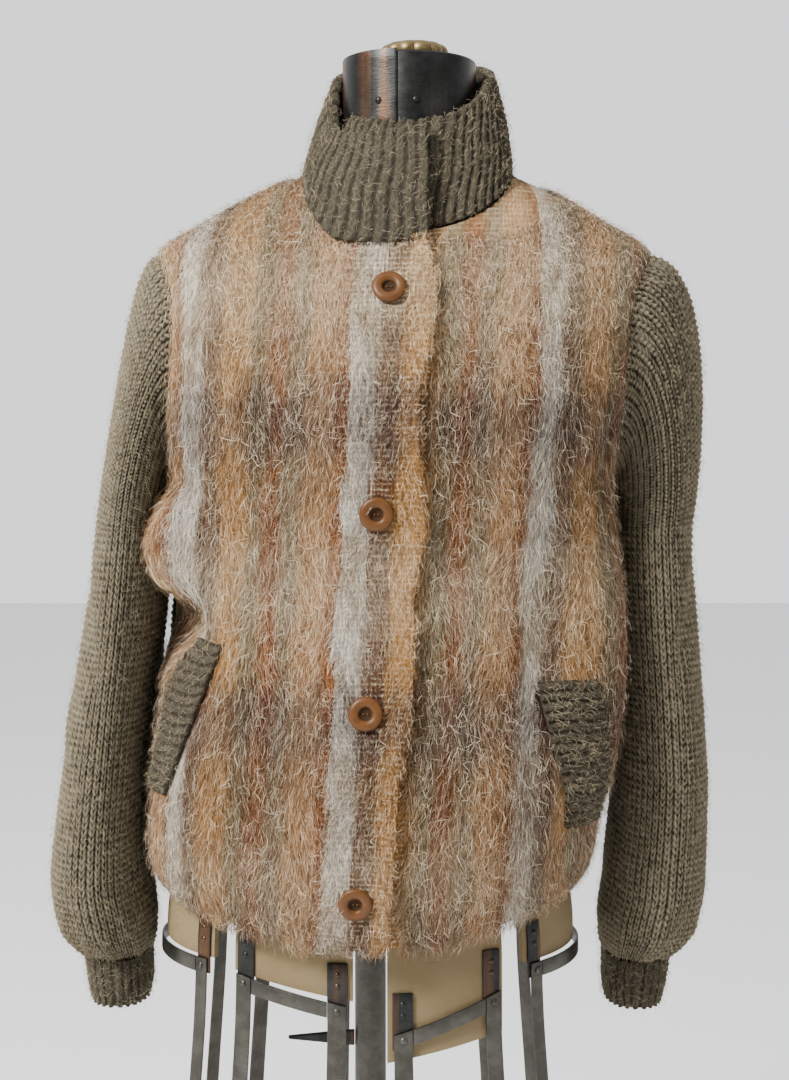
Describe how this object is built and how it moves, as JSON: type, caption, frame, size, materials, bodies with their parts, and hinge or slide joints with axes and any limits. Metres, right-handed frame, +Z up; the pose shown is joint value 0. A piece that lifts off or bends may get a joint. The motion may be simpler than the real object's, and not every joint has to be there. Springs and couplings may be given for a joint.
{
  "type": "wool jacket on a dress form",
  "caption": "Buttoned wool jacket with brushed mohair plaid fronts and knitted back, sleeves, collar, cuffs and pocket welts, worn by a limbless dress form on a round base.",
  "frame": {"origin": "middle of the base's underside, under the pole", "axes": "+Z up along the pole, -Y towards the jacket's front, +X towards the wearer's left"},
  "size_m": [0.5831, 0.46, 1.4667],
  "materials": {
    "mohair": "brushed mohair weave in soft stripes of rust, peach, cream, grey and mauve",
    "knit": "taupe wool knit, fuzzy",
    "button": "brown, semi-gloss",
    "canvas": "plain weave canvas, matt",
    "gunmetal": "dark, rubbed semi-gloss",
    "steel": "worn grey strip",
    "brass": "aged, dull",
    "iron": "black paint"
  },
  "bodies": {
    "root": {"back": "knit", "button_1": "button", "button_2": "button", "button_3": "button", "button_4": "button", "collar": "knit", "cuff_left": "knit", "cuff_right": "knit", "form_base": "iron", "form_bodice": "canvas", "form_cage_back_left": "steel", "form_cage_back_right": "steel", "form_cage_front_left": "steel", "form_cage_front_right": "steel", "form_cage_side_left": "steel", "form_cage_side_right": "steel", "form_hip_back_left": "canvas", "form_hip_back_right": "canvas", "form_hip_front_left": "canvas", "form_hip_front_right": "canvas", "form_hip_side_left": "canvas", "form_hip_side_right": "canvas", "form_knob": "brass", "form_lever": "gunmetal", "form_neck_band": "gunmetal", "form_pole": "steel", "form_tab_back_left_end": "gunmetal", "form_tab_back_left_start": "gunmetal", "form_tab_back_right_end": "gunmetal", "form_tab_back_right_start": "gunmetal", "form_tab_front_left_end": "gunmetal", "form_tab_front_left_start": "gunmetal", "form_tab_front_right_end": "gunmetal", "form_tab_front_right_start": "gunmetal", "form_tab_side_left_end": "gunmetal", "form_tab_side_left_start": "gunmetal", "form_tab_side_right_end": "gunmetal", "form_tab_side_right_start": "gunmetal", "front_left": "mohair", "front_right": "mohair", "pocket_welt_left": "knit", "pocket_welt_right": "knit", "sleeve_left": "knit", "sleeve_right": "knit"}
  },
  "joints": []
}
